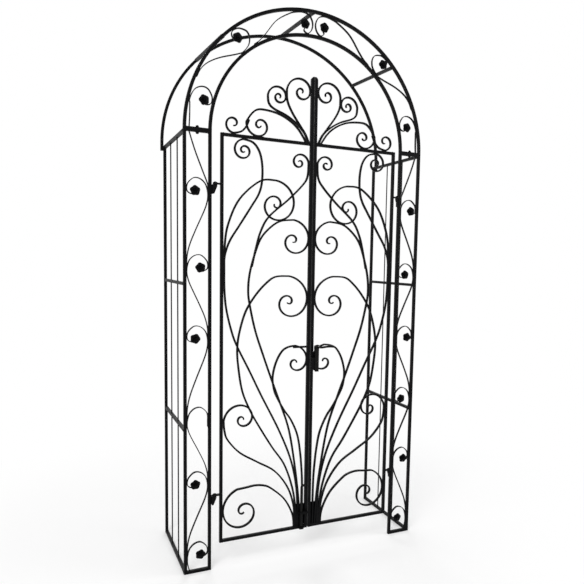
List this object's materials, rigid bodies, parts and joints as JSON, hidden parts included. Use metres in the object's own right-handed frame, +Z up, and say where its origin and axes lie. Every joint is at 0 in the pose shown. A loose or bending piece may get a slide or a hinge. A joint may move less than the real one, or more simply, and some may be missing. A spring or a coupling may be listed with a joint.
{
  "type": "garden gate with rose arch",
  "caption": "Free-standing rose arch of black wrought iron with a double-leaf scrollwork gate, lever latch and drop bolt.",
  "frame": {"origin": "on the ground, under the middle of the whole in width and in depth", "axes": "+Z up; the gate is at the front, -Y; +X to the right of a person facing the gate"},
  "size_m": [1.226, 0.57, 2.629],
  "materials": {
    "frame_iron": "satin black paint over forged square bar",
    "gate_iron": "satin black paint over forged square bar",
    "scroll_iron": "satin black paint over hammered flat bar",
    "rose_iron": "satin black paint over stamped petals",
    "latch_iron": "black paint worn dark at the grip"
  },
  "bodies": {
    "arch": {"outer_post_left": "frame_iron", "outer_post_right": "frame_iron", "inner_post_left": "frame_iron", "inner_post_right": "frame_iron", "back_post_left": "frame_iron", "back_post_right": "frame_iron", "outer_arch": "frame_iron", "inner_arch": "frame_iron", "back_arch": "frame_iron", "ties_left": "frame_iron", "ties_right": "frame_iron", "side_rails_left": "frame_iron", "side_rails_right": "frame_iron", "side_rods_left": "frame_iron", "side_rods_right": "frame_iron", "roof_bars": "frame_iron", "crooks_left": "scroll_iron", "crooks_right": "scroll_iron", "crooks_arch": "scroll_iron", "roses_left": "rose_iron", "roses_right": "rose_iron", "roses_arch": "rose_iron", "brackets_left": "frame_iron", "brackets_right": "frame_iron"},
    "left_leaf": {"left_hinge_stile": "gate_iron", "left_meeting_stile": "gate_iron", "left_rails": "gate_iron", "left_scrolls": "scroll_iron", "left_crest": "scroll_iron", "left_straps": "gate_iron", "left_plate": "gate_iron", "left_catch": "gate_iron", "bolt_guides": "gate_iron"},
    "right_leaf": {"right_hinge_stile": "gate_iron", "right_meeting_stile": "gate_iron", "right_rails": "gate_iron", "right_scrolls": "scroll_iron", "right_crest": "scroll_iron", "right_straps": "gate_iron", "right_plate": "gate_iron", "lock_case": "gate_iron", "lock_face": "latch_iron"},
    "drop_bolt": {"drop_bolt": "latch_iron"},
    "lever": {"lever": "latch_iron"}
  },
  "joints": [
    {"name": "left_leaf_hinge", "type": "hinge", "parent": "arch", "child": "left_leaf", "pos_m": [-0.462, -0.223, 0.35], "axis": [0, 0, -1], "range_deg": [0, 95]},
    {"name": "right_leaf_hinge", "type": "hinge", "parent": "arch", "child": "right_leaf", "pos_m": [0.462, -0.223, 0.35], "axis": [0, 0, 1], "range_deg": [0, 95]},
    {"name": "drop_bolt_slide", "type": "slide", "parent": "left_leaf", "child": "drop_bolt", "axis": [0, 0, -1], "range_m": [0, 0.12]},
    {"name": "lever_turn", "type": "hinge", "parent": "right_leaf", "child": "lever", "pos_m": [0.0285, -0.2805, 1.036], "axis": [0, 1, 0], "range_deg": [0, 40], "stiffness_Nm_per_rad": 1, "springref_deg": -11.46}
  ]
}
